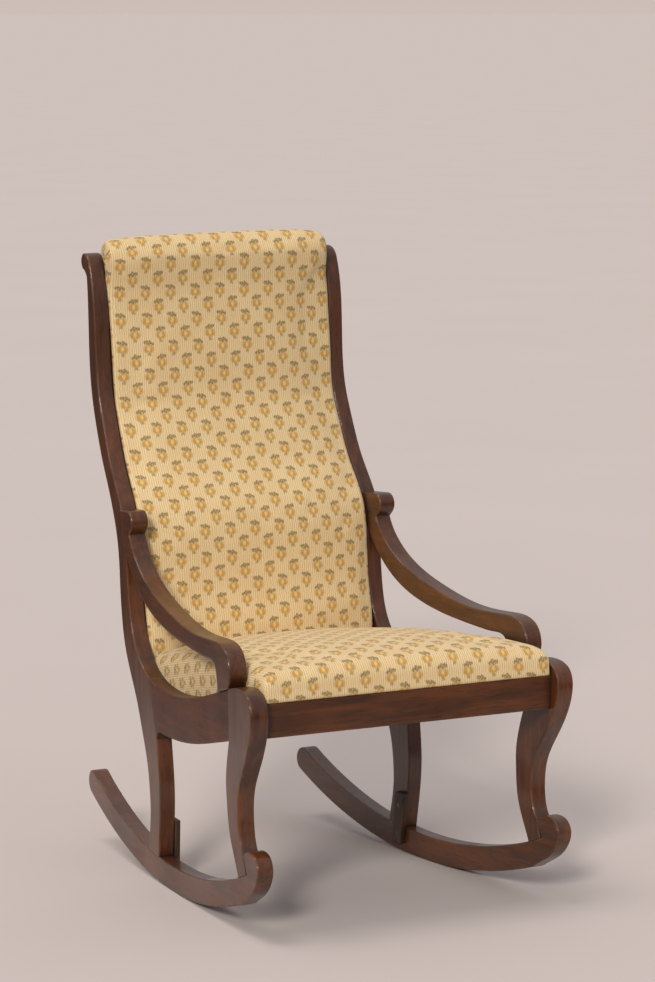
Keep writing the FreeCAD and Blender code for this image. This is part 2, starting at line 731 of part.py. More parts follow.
def pad_section(point, fullness):
    back, up = point
    y_back = across(back + PAD_BACK)
    y_edge = across(back) - PAD_EDGE * fullness
    y_side = y_edge + PAD_ROUND * (y_back - y_edge)
    y_front = y_edge - PAD_BULGE * fullness
    half = inner_half(across(back), up) - SOFT_GAP + PAD_SPARE
    near = half - PAD_DRAW - PAD_SPARE
    return Part.Wire([
        Part.makeLine(V(-half, y_back, up), V(half, y_back, up)),
        Part.makeLine(V(half, y_back, up), V(half, y_side, up)),
        Part.makeLine(V(half, y_side, up), V(near, y_edge, up)),
        Part.Arc(V(near, y_edge, up), V(0, y_front, up),
                 V(-near, y_edge, up)).toShape(),
        Part.makeLine(V(-near, y_edge, up), V(-half, y_side, up)),
        Part.makeLine(V(-half, y_side, up), V(-half, y_back, up)),
    ])


def roll_shape(extra=0.0):
    """The stuffed roll, a little slimmer at its two ends."""
    y = across(ROLL[0])
    half = inner_half(y, ROLL[1]) + CLOTH
    stations = [(-half * (1 - place), girth) for place, girth in ROLL_SECTIONS]
    stations += [(-place, girth) for place, girth in reversed(stations)]
    wires = []
    for place, share in stations:
        radius = ROLL_RADIUS * share + extra
        points = []
        for number in range(6):
            turn = math.radians(60.0 * number)
            points.append(V(place, y + radius * math.sin(turn),
                            ROLL[1] + radius * math.cos(turn)))
        wires.append(Part.Wire([
            Part.Arc(points[0], points[1], points[2]).toShape(),
            Part.Arc(points[2], points[3], points[4]).toShape(),
            Part.Arc(points[4], points[5], points[0]).toShape()]))
    return Part.makeLoft(wires, True, False)


def back_upholstery():
    crest = cross_prism(upright_section(CREST_LOW, CREST_HEIGHT, CREST_THICK,
                                        SOFT_GAP))
    rows = list(zip(PAD_LINE, PAD_FULLNESS))
    pad = Part.makeLoft([pad_section(point, full) for point, full in rows],
                        True, False)
    head = roll_shape(SOFT_GAP)
    neck = level_slab(PAD_FOOT, ROLL[1] - ROLL_RADIUS / 2)
    pad = pad.common(neck).cut([head, crest])
    lining = band(PAD_LINE, PAD_BACK + SOFT_GAP, CLOTH,
                  PAD_FOOT + DUST_INSET, PAD_LINE[1][1])
    cover = band(POST_BACK[:14], -COVER_INSET, CLOTH, COVER_FOOT, COVER_TOP)
    straps = []
    for number in range(BACK_STRAPS):
        low = BACK_STRAP_LOW + number * BACK_STRAP_PITCH
        straps.append(band(PAD_LINE, PAD_BACK + 2 * SOFT_GAP + CLOTH,
                           WEB_THICK, low, low + WEB_WIDTH, 0.0))
    return {
        "back_cushion": inside(pad, SOFT_GAP),
        "crest_roll": inside(roll_shape().cut(crest), SOFT_GAP),
        "back_lining": lining,
        "back_webbing": Part.makeCompound(straps),
        "back_cover": cover.cut(head),
    }


def solids(shape):
    """Drop the wrapping of a boolean result, keeping its solids."""
    found = shape.Solids
    return found[0] if len(found) == 1 else Part.makeCompound(found)


def dowel_hole(dowel):
    """Where a dowel goes, with room for its glue."""
    axis = dowel.Faces[0].Surface.Axis
    start = dowel.CenterOfMass - axis * (DOWEL_LENGTH / 2 + DOWEL_END_PLAY)
    return cylinder(start, axis, DOWEL_LENGTH + 2 * DOWEL_END_PLAY,
                    DOWEL + 2 * DOWEL_PLAY)


def pair(shapes):
    """Pieces of the left side frame, and their mirrored twins."""
    left = place_left(Part.makeCompound(shapes))
    return Part.makeCompound(left.Solids + mirrored(left).Solids)


frame_dowels = side_dowels()
screws = cleat_screws()
rail_dowels = cross_dowels()
seat_frame_dowels = seat_dowels()
tacks = dust_tacks()
blocks, block_screws = corner_blocks()
side_holes = [dowel_hole(dowel) for dowel in frame_dowels]
rail_holes = [dowel_hole(dowel) for dowel in rail_dowels]
seat_holes = [dowel_hole(dowel) for dowel in seat_frame_dowels]

nodes = {}
boards = side_boards()
boards["cleat"] = cleat()
for name, board in boards.items():
    left = place_left(board.cut(side_holes + screws)).cut(rail_holes)
    nodes["left_" + name] = left
    nodes["right_" + name] = mirrored(left)
for name, rail in cross_rails().items():
    nodes[name] = rail.cut(rail_holes + block_screws)
nodes.update(blocks)
for name, member in seat_frame().items():
    nodes[name] = member.cut(seat_holes + tacks)
nodes["seat_webbing"] = Part.makeCompound(seat_webbing())
nodes["seat_burlap"] = inside(seat_box(DUST_INSET, SEAT_LENGTH - DUST_INSET,
                                       BURLAP_FOOT, BURLAP_FOOT + CLOTH),
                              SEAT_SIDE_GAP + DUST_INSET)
nodes["seat_dust_cloth"] = dust_cloth().cut(tacks)
nodes["seat_cushion"] = seat_cushion()
nodes.update(back_upholstery())
nodes["side_frame_dowels"] = pair(frame_dowels)
nodes["cross_rail_dowels"] = Part.makeCompound(rail_dowels)
nodes["seat_frame_dowels"] = Part.makeCompound(seat_frame_dowels)
nodes["cleat_screws"] = pair(screws)
nodes["block_screws"] = Part.makeCompound(block_screws)
nodes["dust_cloth_tacks"] = Part.makeCompound(tacks)

lows = [10 * REACH] * 3
highs = [-10 * REACH] * 3
for shape in nodes.values():
    for vertex in shape.tessellate(0.1)[0]:
        lows = [min(low, value) for low, value in zip(lows, vertex)]
        highs = [max(high, value) for high, value in zip(highs, vertex)]
origin = V((lows[0] + highs[0]) / 2, (lows[1] + highs[1]) / 2, lows[2])

os.makedirs("parts", exist_ok=True)
for name, shape in nodes.items():
    placed = solids(shape)
    placed.translate(-origin)
    placed.exportStep("parts/" + name + ".step")
    print(name, len(placed.Solids), placed.isValid(), round(placed.Volume))
print("size", [round(high - low, 1) for low, high in zip(lows, highs)])
print("origin", [round(value, 2) for value in origin])
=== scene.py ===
# %% [markdown]
# # Dressing an upholstered rocking chair
# The chair's construction arrives as a fixed frame: two sawn mahogany sides, the rails between
# them, a slip seat and a padded back. This lesson gives each surface its finish and makes the two
# stuffed covers, the seat and the back with its roll, as cloth. Everything is in metres, with the
# floor at zero, the front toward -Y and +X toward the sitter's left hand.

# %% The frame
import math

import bmesh
import bpy
import numpy as np
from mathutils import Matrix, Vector


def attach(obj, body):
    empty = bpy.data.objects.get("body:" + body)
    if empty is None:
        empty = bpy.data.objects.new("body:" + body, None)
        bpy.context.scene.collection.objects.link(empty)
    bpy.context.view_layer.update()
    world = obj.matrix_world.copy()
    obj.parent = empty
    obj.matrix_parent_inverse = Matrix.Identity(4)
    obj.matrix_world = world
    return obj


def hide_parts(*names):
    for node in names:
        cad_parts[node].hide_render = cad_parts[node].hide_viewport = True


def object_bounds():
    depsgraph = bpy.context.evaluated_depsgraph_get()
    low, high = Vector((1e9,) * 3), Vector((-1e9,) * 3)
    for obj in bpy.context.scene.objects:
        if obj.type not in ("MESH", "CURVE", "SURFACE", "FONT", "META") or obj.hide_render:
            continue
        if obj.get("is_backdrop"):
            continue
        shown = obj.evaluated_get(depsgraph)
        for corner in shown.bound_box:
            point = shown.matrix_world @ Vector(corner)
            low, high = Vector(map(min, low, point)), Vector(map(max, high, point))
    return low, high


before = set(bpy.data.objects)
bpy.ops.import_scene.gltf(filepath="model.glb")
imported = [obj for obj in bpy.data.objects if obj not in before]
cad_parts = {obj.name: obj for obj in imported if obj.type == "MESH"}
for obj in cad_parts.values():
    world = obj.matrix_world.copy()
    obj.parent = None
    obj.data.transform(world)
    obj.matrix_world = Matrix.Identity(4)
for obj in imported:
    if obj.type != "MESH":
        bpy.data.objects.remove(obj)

cad_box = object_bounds()
print("the bare chair measures", [round(side, 3) for side in cad_box[1] - cad_box[0]])

# %% [markdown]
# The maker drew the chair in millimetres from a zero on the floor under the front seat rail. The
# frame's own zero is further back, in the middle of the footprint. Sizes of the covers are easier
# to read in the maker's figures, so one helper turns a point of those figures into this frame.

# %% The maker's figures
ZERO_BACK = 348.32        # how far the frame's zero lies behind the maker's, mm
ZERO_UP = 0.08            # and how far above it
TAPER = math.radians(4.93)    # each side turns in toward the rear
LEAN = math.radians(0.94)     # and leans out toward the top
INSIDE, INSIDE_UP = 257.9, 400.0      # centre to a side's inner face, at the front, this high up


def placed(points):
    """Turns (across, back, up) rows in the maker's millimetres into metres in this frame."""
    return (np.asarray(points, float) - [0, ZERO_BACK, ZERO_UP]) / 1000


def inner_half(back, up):
    """Half of the clear width between the sides, in mm, so far back and up."""
    return INSIDE - back * math.tan(TAPER) + (up - INSIDE_UP) * math.tan(LEAN)


def deselect_all():
    bpy.ops.object.select_all(action="DESELECT")


RAIL_TOP = 373.4          # the front rail's upper edge
print("clear width at the front rail", round(2 * inner_half(0, RAIL_TOP)), "mm")

# %% [markdown]
# ## Camera
# A long lens stands to the left of the chair's front, above the chair, and looks slightly down. It
# could be aimed by a constraint, but fixed angles keep its numbers plain to read. Blender measures
# a lens and its shift along the longer side, which is the height of this upright picture.

# %% Camera
PICTURE = (655, 982)          # the picture's width and height
FOCAL = 3588.9                # focal length in those pixels
AXIS = (329, 494)             # where the lens looks in the picture
SENSOR = 36.0                 # mm
STAND = (-2.7171, -5.2005, 1.4415)    # where the camera stands
YAW, DOWN = 28.0, 7.783       # degrees that it is turned to the right and tipped down

deselect_all()
bpy.ops.object.camera_add(location=STAND,
                          rotation=(math.radians(90 - DOWN), 0, math.radians(-YAW)))
camera = bpy.context.object
camera.data.sensor_width = SENSOR
camera.data.lens = FOCAL * SENSOR / PICTURE[1]
camera.data.shift_x = (PICTURE[0] / 2 - AXIS[0]) / PICTURE[1]
camera.data.shift_y = (AXIS[1] - PICTURE[1] / 2) / PICTURE[1]
bpy.context.scene.camera = camera
bpy.context.scene.view_settings.view_transform = "Standard"
print("lens", round(camera.data.lens, 1), "mm")

# %% [markdown]
# ## Colours and shader nodes
# Colours are written as sRGB hex values, as on a paint card, while shaders mix light, which is
# linear. One function turns the one into the other. Another adds a shader node, sets it and wires
# it, so that a material reads as a list of steps, and a few more say the steps that come up often.
# Noise keeps mostly between 0.3 and 0.7, so that is the range that is usually stretched.

# %% Colours


def srgb(code):
    """A linear colour from a hex code such as 8A4B2D."""
    parts = [int(code[start:start + 2], 16) / 255 for start in (0, 2, 4)]
    linear = [part / 12.92 if part <= 0.04045 else ((part + 0.055) / 1.055) ** 2.4
              for part in parts]
    return (*linear, 1.0)


print("mid grey is", round(srgb("808080")[0], 3), "in linear light")

# %% Shader nodes


def add(tree, kind, settings=None, **inputs):
    """Adds a node. settings are its own options, and inputs are values or sockets to wire in;
    in_0 is the first input, where names repeat."""
    node = tree.nodes.new("ShaderNode" + kind)
    for name, value in (settings or {}).items():
        setattr(node, name, value)
    for name, value in inputs.items():
        key = int(name[3:]) if name.startswith("in_") else name.replace("_", " ")
        if isinstance(value, bpy.types.NodeSocket):
            tree.links.new(value, node.inputs[key])
        else:
            node.inputs[key].default_value = value
    return node


def new_material(name):
    """An empty material, its tree and its output node."""
    material = bpy.data.materials.new(name)
    material.use_nodes = True
    material.node_tree.nodes.clear()
    return material, material.node_tree, add(material.node_tree, "OutputMaterial")


def blend_colours(tree, factor, first, second, mode="MIX"):
    """Mixes two colours and returns the result's socket."""
    mix = add(tree, "Mix", {"data_type": "RGBA", "blend_type": mode},
              in_0=factor, in_6=first, in_7=second)
    return mix.outputs[2]


def calculate(tree, operation, first, second=0.0):
    """One sum on numbers, and its socket."""
    return add(tree, "Math", {"operation": operation}, in_0=first, in_1=second).outputs[0]


def spread(tree, value, low, high, to_low=0.0, to_high=1.0):
    """Stretches the range low to high over to_low to to_high, without going past either."""
    return add(tree, "MapRange", {"clamp": True}, Value=value, From_Min=low, From_Max=high,
               To_Min=to_low, To_Max=to_high).outputs[0]


def noise(tree, place, scale, detail, **inputs):
    """Soft random shade with so many waves a metre, and finer ones on top."""
    return add(tree, "TexNoise", Vector=place, Scale=scale, Detail=detail, **inputs).outputs[0]


def finish_material(material, tree, output, **inputs):
    """Wires a principled shader with these inputs to the output."""
    shader = add(tree, "BsdfPrincipled", **inputs)
    tree.links.new(shader.outputs[0], output.inputs[0])
    print(material.name, "has", len(tree.nodes), "nodes")
    return material


# %% [markdown]
# ## Mahogany
# The sides, arms and rails are sawn from mahogany and French polished. The wood is a dark reddish
# brown with straight ribbon figure, short dark pores along the grain, and a thin clear skin of
# shellac that mirrors the room softly. A century of hands and cloths has lightened the arrises.
# The corners are darkened almost to black, partly by old polish gathered there and partly as
# painted shade. Noise that is stretched along the grain gives figure, ribbon and pores. A bevel
# node rounds the sawn edges to the eye and finds where they are worn, and ambient occlusion finds
# the corners.
# Each member is sawn along its length, so there is one material for each grain direction, all from
# one recipe.

# %% The wood recipe
ACROSS, BACK, UP = 0, 1, 2            # the axes
GRAIN_STRETCH = 14.0      # how much longer than wide the figure is
FIGURE, RIBBON = 28.0, 95.0           # waves a metre over the grain: every 36 and 10 mm
CLOUD, WEAR_PATCH, SMEAR = 7.0, 24.0, 11.0    # and in any direction: every 140, 40 and 90 mm
PORE_WIDTH = 0.5          # mm, about twice the real pores, so that they show
ARRIS = 0.0045            # metres, the rounding of the sawn edges
# The corner darkening below is partly old polish and partly painted shade.
CORNER_REACH = 0.02       # metres out of a corner that old polish has gathered
POLISH_BUMP = 0.0006      # metres, the depth of pores and brush marks
SHELLAC_IOR = 1.5
SHELLAC_ROUGH = 0.075
# The last colour is that corner darkening: old polish and painted shade.
PORE_COLOUR, WORN_COLOUR, POLISH_AND_SHADE_COLOUR = "1C0D06", "8A6038", "150A05"


def along_grain(tree, place, axis):
    """Coordinates in which a pattern is drawn out along axis 0, 1 or 2."""
    squeeze = [1.0, 1.0, 1.0]
    squeeze[axis] = 1 / GRAIN_STRETCH
    return add(tree, "Mapping", Vector=place, Scale=squeeze).outputs[0]


def polished_wood(name, axis, dark, middle, light, gloss=0.36, coat=0.42):
    """A polished wood whose grain runs along an axis, from three shades of its colour."""
    material, tree, output = new_material(name)
    place = add(tree, "TexCoord").outputs["Object"]
    grain = along_grain(tree, place, axis)
    # The wood: broad figure, narrow ribbon, soft clouds and dark pores
    figure = noise(tree, grain, FIGURE, 5.0, Roughness=0.55, Distortion=0.6)
    ribbon = noise(tree, grain, RIBBON, 3.0, Roughness=0.6)
    cloud = noise(tree, place, CLOUD, 2.0)
    pores = noise(tree, grain, 1000 / (4 * PORE_WIDTH), 2.0, Roughness=0.5)
    colour = blend_colours(tree, spread(tree, figure, 0.3, 0.7), srgb(dark), srgb(middle))
    colour = blend_colours(tree, spread(tree, ribbon, 0.45, 0.75, 0, 0.45), colour, srgb(light))
    colour = blend_colours(tree, spread(tree, cloud, 0.4, 0.75, 0, 0.35), colour, srgb(light))
    pore_mask = spread(tree, pores, 0.56, 0.68, 0, 0.55)
    colour = blend_colours(tree, pore_mask, colour, srgb(PORE_COLOUR))
    # Worn arrises, where the flat face and the rounded one turn apart by 10 to 28 degrees
    flat = add(tree, "NewGeometry").outputs["Normal"]
    rounded = add(tree, "Bevel", {"samples": 4}, Radius=ARRIS).outputs[0]
    agreement = add(tree, "VectorMath", {"operation": "DOT_PRODUCT"}, in_0=flat,
                    in_1=rounded).outputs["Value"]
    edge = spread(tree, agreement, 0.985, 0.88)
    patchy = noise(tree, place, WEAR_PATCH, 3.0)
    edge = calculate(tree, "MULTIPLY", edge, spread(tree, patchy, 0.42, 0.62))
    colour = blend_colours(tree, calculate(tree, "MULTIPLY", edge, 0.6), colour,
                           srgb(WORN_COLOUR))
    # Old polish and painted shade in the corners
    hollow = add(tree, "AmbientOcclusion", {"samples": 4}, Distance=CORNER_REACH).outputs["AO"]
    polish_and_shade = spread(tree, hollow, 0.95, 0.4, 0, 0.7)
    colour = blend_colours(tree, polish_and_shade, colour, srgb(POLISH_AND_SHADE_COLOUR))
    # The skin of shellac, rubbed duller here and there
    smear = noise(tree, place, SMEAR, 4.0)
    rough = spread(tree, smear, 0.3, 0.7, gloss - 0.05, gloss + 0.1)
    height = calculate(tree, "ADD", calculate(tree, "MULTIPLY", pore_mask, -0.5),
                       calculate(tree, "MULTIPLY", smear, 0.4))
    bump = add(tree, "Bump", Strength=0.12, Distance=POLISH_BUMP, Height=height,
               Normal=rounded).outputs[0]
    return finish_material(material, tree, output, Base_Color=colour, Roughness=rough,
                           Normal=bump, IOR=SHELLAC_IOR, Coat_Weight=coat,
                           Coat_Roughness=SHELLAC_ROUGH, Coat_IOR=SHELLAC_IOR,
                           Coat_Normal=rounded)


# %% [markdown]
# The legs, posts, arms and rockers share three shades of one brown. The side rails get a darker
# and duller copy of it, with less shellac, and its darker colours are painted shade. The two
# repair battens are a cheaper wood, stained and barely shined.

# %% Five polished woods
mahogany = {axis: polished_wood("french_polished_mahogany_" + word, axis,
                                "331806", "52290D", "78421B")
            for axis, word in ((ACROSS, "across"), (BACK, "lengthwise"), (UP, "upright"))}
# The side rails' mahogany: its darker colours are painted shade.
rail_mahogany_painted_shade = polished_wood("french_polished_mahogany_rail_painted_shade", BACK, "301407", "4E230D", "6E3817",
                              gloss=0.48, coat=0.12)
cleat_wood = polished_wood("stained_repair_batten", UP, "2A1A12", "3B271B", "54382A",
                           gloss=0.5, coat=0.1)

# %% [markdown]
# The rails and blocks that the covers hide are plain planed beech, and the dowels are turned
# birch: pale, with a faint fleck and no polish at all. The recipe is a short form of the one
# above: a bare wood has no clear skin, and inside a cover nothing wears its edges.

# %% Bare wood
BARE_FIGURE, FLECK = 60.0, 420.0      # waves a metre over the grain: every 17 and 2.4 mm
PLANED_BUMP = 0.0005      # metres
WOOD_IOR = 1.5
FLECK_COLOUR = "7A5A3A"


def bare_wood(name, axis, dark, light):
    """Planed wood without a finish."""
    material, tree, output = new_material(name)
    place = add(tree, "TexCoord").outputs["Object"]
    grain = along_grain(tree, place, axis)
    figure = noise(tree, grain, BARE_FIGURE, 6.0, Roughness=0.6)
    fleck = noise(tree, grain, FLECK, 1.0)
    colour = blend_colours(tree, spread(tree, figure, 0.3, 0.7), srgb(dark), srgb(light))
    colour = blend_colours(tree, spread(tree, fleck, 0.6, 0.7, 0, 0.4), colour,
                           srgb(FLECK_COLOUR))
    rough = spread(tree, figure, 0.3, 0.7, 0.55, 0.75)
    bump = add(tree, "Bump", Strength=0.2, Distance=PLANED_BUMP, Height=figure).outputs[0]
    return finish_material(material, tree, output, Base_Color=colour, Roughness=rough,
                           Normal=bump, IOR=WOOD_IOR)


beech = {axis: bare_wood("planed_beech_" + word, axis, "9C7448", "BE9868")
         for axis, word in ((ACROSS, "across"), (BACK, "lengthwise"))}
dowel_birch = bare_wood("turned_birch_dowel", ACROSS, "AD8A5C", "C9A97C")

# %% [markdown]
# ## The hidden cloths
# Jute webbing and burlap are coarse brown plain weaves, and the dust cloth under the seat is thin
# black cotton. A plain weave is two sets of threads, so two sine waves at the thread spacing, one
# along each axis, make both its colour and its bump. The axes are those of the cloth's own plane.

# %% Plain weaves
THREAD_UNEVEN = 160.0     # waves a metre: a thread changes every 6 mm
THREAD_BUMP = 0.0006      # metres


def plain_weave(name, spacing, dark, light, axes):
    """A woven cloth with threads every so many millimetres, along two axes."""
    material, tree, output = new_material(name)
    place = add(tree, "TexCoord").outputs["Object"]
    split = add(tree, "SeparateXYZ", Vector=place)
    waves = []
    for axis in axes:
        turn = calculate(tree, "MULTIPLY", split.outputs[axis], 2 * math.pi * 1000 / spacing)
        waves.append(calculate(tree, "SINE", turn))
    weave = calculate(tree, "MAXIMUM", waves[0], waves[1])
    uneven = noise(tree, place, THREAD_UNEVEN, 3.0)
    shade = calculate(tree, "MULTIPLY", spread(tree, weave, -0.6, 1.0),
                      spread(tree, uneven, 0.2, 0.7))
    colour = blend_colours(tree, shade, srgb(dark), srgb(light))
    bump = add(tree, "Bump", Strength=0.6, Distance=THREAD_BUMP, Height=weave).outputs[0]
    return finish_material(material, tree, output, Base_Color=colour, Roughness=0.9, Normal=bump,
                           Sheen_Weight=0.2, Sheen_Roughness=0.5)


jute = {plane: plain_weave("jute_webbing_" + plane, 3.0, "5E4426", "A07C4C", axes)
        for plane, axes in (("seat", (0, 1)), ("back", (0, 2)))}
burlap = {plane: plain_weave("burlap_" + plane, 2.0, "6A5230", "A88A5C", axes)
          for plane, axes in (("seat", (0, 1)), ("back", (0, 2)))}
dust_cotton = plain_weave("black_cotton_dust_cloth", 1.6, "0B0B0C", "26262A", (0, 1))

# %% [markdown]
# Screws and tacks are blued steel: dark grey, and dull where a little rust has come through. One
# noise drives both the colour and the roughness, so that the brown places are also the dull ones.

# %% Blued steel
RUST_SPOTS = 320.0        # waves a metre: a spot every 3 mm


def blued_steel():
    """Old screws and tacks: dark steel with a little dull oxide."""
    material, tree, output = new_material("blued_steel")
    rust = noise(tree, add(tree, "TexCoord").outputs["Object"], RUST_SPOTS, 4.0)
    colour = blend_colours(tree, spread(tree, rust, 0.45, 0.7), srgb("6E6C6A"), srgb("4A3830"))
    rough = spread(tree, rust, 0.4, 0.7, 0.3, 0.6)
    return finish_material(material, tree, output, Base_Color=colour, Metallic=1.0,
                           Roughness=rough)


steel = blued_steel()

# %% [markdown]
# ## The sprigged cloth
# The cover is a cotton in cream and pale gold with fine grey pinstripes, woven with columns of
# small golden fruits under curled leaves. The columns stand half a repeat apart, and every other
# one is shifted half a repeat up and turned left to right. The repeat is 46 mm across and 47 mm
# up. A picture could carry such a print, but drawn in nodes it stays sharp and follows the cloth.
# The sprig is made of soft ellipses: each is a circle in coordinates that a Mapping node has
# moved, turned and stretched, and those of one colour are joined by taking the larger value.

# %% The sprig's ellipses
REPEAT_ACROSS = 46.3      # mm
REPEAT_UP = 47.0
STRIPE_PITCH = 3.86       # twelve pinstripes to a repeat
# Ellipses: centre across and up, half width, half height in mm, and turn in degrees
FRUIT = [(0, 0, 8.3, 6.4, 0), (-3.5, -1.5, 4.6, 4.6, 30), (3.8, -1.2, 4.6, 4.8, -25)]
FLESH = [(-3.6, 0.4, 2.9, 4.0, 15), (3.8, 0.2, 2.6, 4.0, -15), (0.1, -2.6, 4.0, 2.4, 0)]
SHINE = [(0.2, 0.9, 2.6, 4.2, 0)]
LEAVES = [(0.0, 8.4, 2.0, 2.8, 0), (-3.5, 10.2, 3.6, 2.1, -5), (-6.9, 8.4, 2.0, 2.6, 15),
          (3.2, 11.8, 3.7, 1.9, 20), (7.1, 11.2, 1.8, 2.7, -10), (-1.8, 13.0, 2.3, 1.7, 30),
          (4.2, 8.9, 1.5, 1.3, 30)]
TAIL = [(-0.6, -8.6, 2.6, 2.2, 0), (1.6, -10.4, 1.6, 2.0, 30), (-1.6, -11.2, 1.2, 1.4, 0)]
# What is printed over what, with its colour and strength
PRINT = [(LEAVES, "7C673C", 0.85), (TAIL, "87703F", 0.7), (FRUIT, "AE8236", 0.85),
         (FLESH, "D0A048", 0.85), (SHINE, "F0CD88", 0.9)]
SOFTNESS = 0.45           # how far a printed edge fades, as a share of the ellipse
print("the sprig is drawn from", sum(len(part[0]) for part in PRINT), "ellipses")

# %% Drawing the sprig


def soft_ellipses(tree, point, ellipses):
    """A mask that is 1 inside any of the ellipses."""
    mask = 0.0
    for across, up, wide, high, turn in ellipses:
        local = add(tree, "Mapping", {"vector_type": "TEXTURE"}, Vector=point,
                    Location=(across, up, 0), Rotation=(0, 0, math.radians(turn)),
                    Scale=(wide, high, 1)).outputs[0]
        reach = add(tree, "VectorMath", {"operation": "LENGTH"}, in_0=local).outputs["Value"]
        here = spread(tree, reach, 1 + SOFTNESS, 1 - SOFTNESS)
        mask = calculate(tree, "MAXIMUM", here, mask)
    return mask


def within_repeat(tree, cloth_across, cloth_up):
    """Turns a place on the cloth, in mm, into a place on the sprig that stands there."""
    column = calculate(tree, "DIVIDE", cloth_across, REPEAT_ACROSS / 2)
    odd = calculate(tree, "FLOORED_MODULO", calculate(tree, "FLOOR", column), 2.0)
    across = calculate(tree, "SUBTRACT", calculate(tree, "FRACT", column), 0.5)
    mirror = calculate(tree, "SUBTRACT", 1.0, calculate(tree, "MULTIPLY", odd, 2.0))
    across = calculate(tree, "MULTIPLY", across,
                       calculate(tree, "MULTIPLY", mirror, REPEAT_ACROSS / 2))
    row = calculate(tree, "ADD", calculate(tree, "DIVIDE", cloth_up, REPEAT_UP),
                    calculate(tree, "MULTIPLY", odd, 0.5))
    up = calculate(tree, "SUBTRACT", calculate(tree, "FRACT", row), 0.5)
    up = calculate(tree, "MULTIPLY", up, REPEAT_UP)
    return add(tree, "CombineXYZ", X=across, Y=up).outputs[0]


print("twelve pinstripes take", round(12 * STRIPE_PITCH, 1), "of", REPEAT_ACROSS, "mm")

# %% [markdown]
# On the stuffed covers the cloth's own UV map, in metres, says where the print is. The rear panel
# is flat and comes without a map, so there the object's across and up do as well. Old cloth that
# was pulled over stuffing wavers, so the print is shifted a millimetre or two by a slow noise, and
# fibres break it up. A rib of fine cross threads and the pinstripes' hollows make the bump.

# %% The cover cloth
WAVER_SIZE, WAVER = 0.12, 3.2         # waves a mm, and how far they shift the print, mm
BLOTCH, FIBRE = 0.02, 0.9             # waves a mm: aged patches of 50 mm, fibres of 1 mm
RIB_PITCH = 1.6           # mm, twice the real threads, so that they show
CLOTH_BUMP = 0.0006       # metres
CREAM, PALE_GOLD, PINSTRIPE, FIBRE_SHADE = "EDD5A2", "E9CD98", "BCA18A", "8E7550"


def cloth_noise(tree, cloth, scale, detail, output=0):
    """Noise on the flat cloth."""
    return add(tree, "TexNoise", {"noise_dimensions": "2D"}, Vector=cloth, Scale=scale,
               Detail=detail).outputs[output]


def sprigged_cloth(name, source):
    """The cover cloth. source is "UV", in metres of cloth, or "Object" on an upright panel."""
    material, tree, output = new_material(name)
    place = add(tree, "TexCoord").outputs[source]
    if source == "Object":
        split = add(tree, "SeparateXYZ", Vector=place)
        place = add(tree, "CombineXYZ", X=split.outputs[0], Y=split.outputs[2]).outputs[0]
    # The place on the cloth in mm, and how the print wavers there
    cloth = add(tree, "VectorMath", {"operation": "SCALE"}, in_0=place, Scale=1000.0).outputs[0]
    waver = cloth_noise(tree, cloth, WAVER_SIZE, 2.0, "Color")
    waver = add(tree, "VectorMath", {"operation": "SUBTRACT"}, in_0=waver,
                in_1=(0.5, 0.5, 0.5)).outputs[0]
    waver = add(tree, "VectorMath", {"operation": "SCALE"}, in_0=waver, Scale=WAVER).outputs[0]
    woven = add(tree, "VectorMath", {"operation": "ADD"}, in_0=cloth, in_1=waver).outputs[0]
    split = add(tree, "SeparateXYZ", Vector=woven)
    sprig = within_repeat(tree, split.outputs[0], split.outputs[1])
    # Ground and pinstripes, then the sprig, then the shade between fibres
    turn = calculate(tree, "MULTIPLY", split.outputs[0], 2 * math.pi / STRIPE_PITCH)
    stripe = spread(tree, calculate(tree, "SINE", turn), 0.1, 0.95)
    blotch = cloth_noise(tree, cloth, BLOTCH, 3.0)
    fibre = cloth_noise(tree, cloth, FIBRE, 3.0)
    colour = blend_colours(tree, spread(tree, blotch, 0.3, 0.7), srgb(CREAM), srgb(PALE_GOLD))
    colour = blend_colours(tree, calculate(tree, "MULTIPLY", stripe, 0.7), colour,
                           srgb(PINSTRIPE))
    for ellipses, code, strength in PRINT:
        mask = soft_ellipses(tree, sprig, ellipses)
        mask = calculate(tree, "MULTIPLY", mask, spread(tree, fibre, 0.25, 0.5,
                                                        strength - 0.3, strength))
        colour = blend_colours(tree, mask, colour, srgb(code))
    colour = blend_colours(tree, spread(tree, fibre, 0.35, 0.75, 0, 0.22), colour,
                           srgb(FIBRE_SHADE), "MULTIPLY")
    # Cross threads stand up, and pinstripes lie low
    turn = calculate(tree, "MULTIPLY", split.outputs[1], 2 * math.pi / RIB_PITCH)
    rib = calculate(tree, "SINE", turn)
    height = calculate(tree, "ADD", calculate(tree, "MULTIPLY", rib, 0.3),
                       calculate(tree, "ADD", calculate(tree, "MULTIPLY", stripe, -0.5), fibre))
    bump = add(tree, "Bump", Strength=0.35, Distance=CLOTH_BUMP, Height=height).outputs[0]
    rough = spread(tree, fibre, 0.3, 0.7, 0.78, 0.92)
    return finish_material(material, tree, output, Base_Color=colour, Roughness=rough,
                           Normal=bump, Sheen_Weight=0.12, Sheen_Roughness=0.5,
                           Specular_IOR_Level=0.25)


cover_cloth = sprigged_cloth("sprigged_cotton", "UV")
panel_cloth = sprigged_cloth("sprigged_cotton_panel", "Object")

# %% [markdown]
# ## Handing the finishes to the frame
# The frame's own pieces keep their shapes, which are right. Each gets the finish of what it is,
# found by the end of its name, with the grain along its length.

